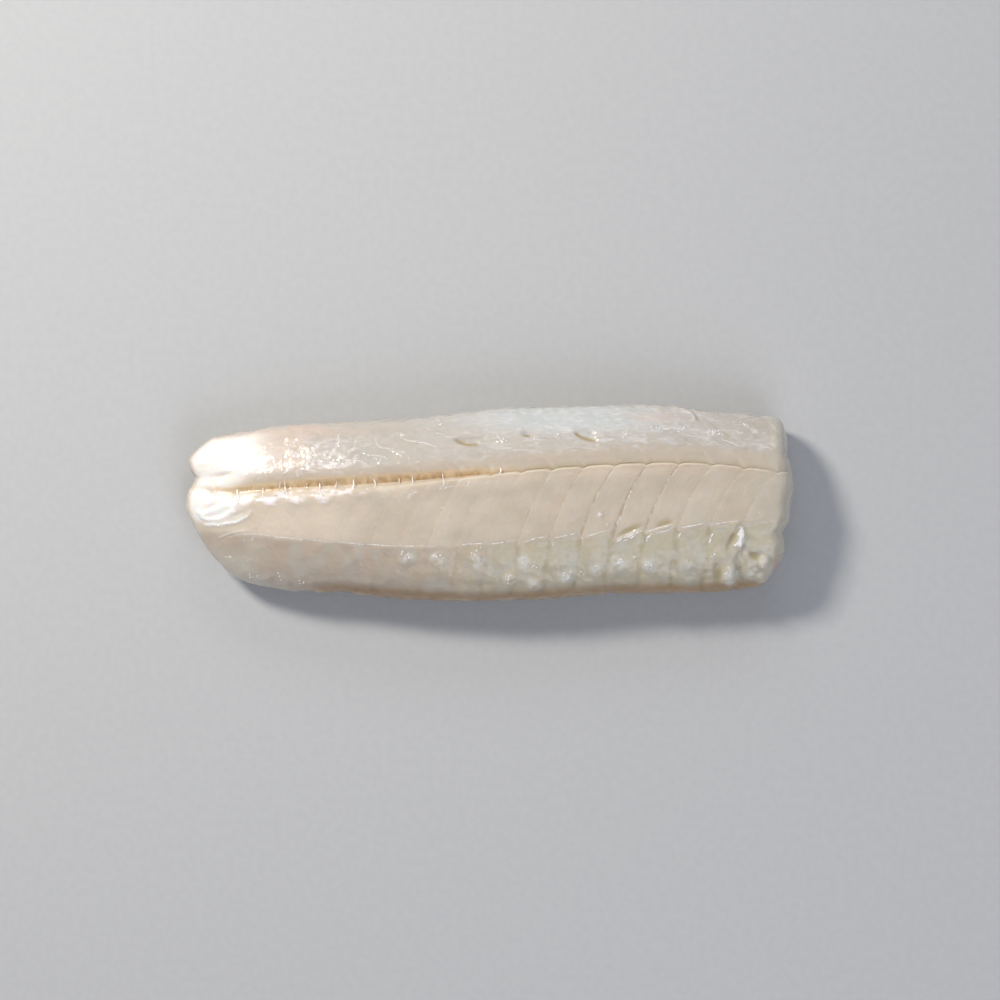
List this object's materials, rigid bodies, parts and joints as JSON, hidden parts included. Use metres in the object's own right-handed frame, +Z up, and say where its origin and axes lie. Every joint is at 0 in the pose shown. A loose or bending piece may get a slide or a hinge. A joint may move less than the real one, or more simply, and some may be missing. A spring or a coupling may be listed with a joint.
{
  "type": "cod loin",
  "caption": "Raw skinned cod loin lying on its outer side, with a bone groove, leaning flakes, a swollen belly side, one tapered end and one knife-cut end.",
  "frame": {"origin": "under the middle of the bounding box, at the level the piece rests on", "axes": "+X from the tapered end to the knife-cut end, +Y from the near edge to the far edge, +Z up"},
  "size_m": [0.2342, 0.076, 0.0346],
  "materials": {
    "flesh": "wet raw white fish flesh"
  },
  "bodies": {
    "root": {"loin": "flesh"}
  },
  "joints": []
}
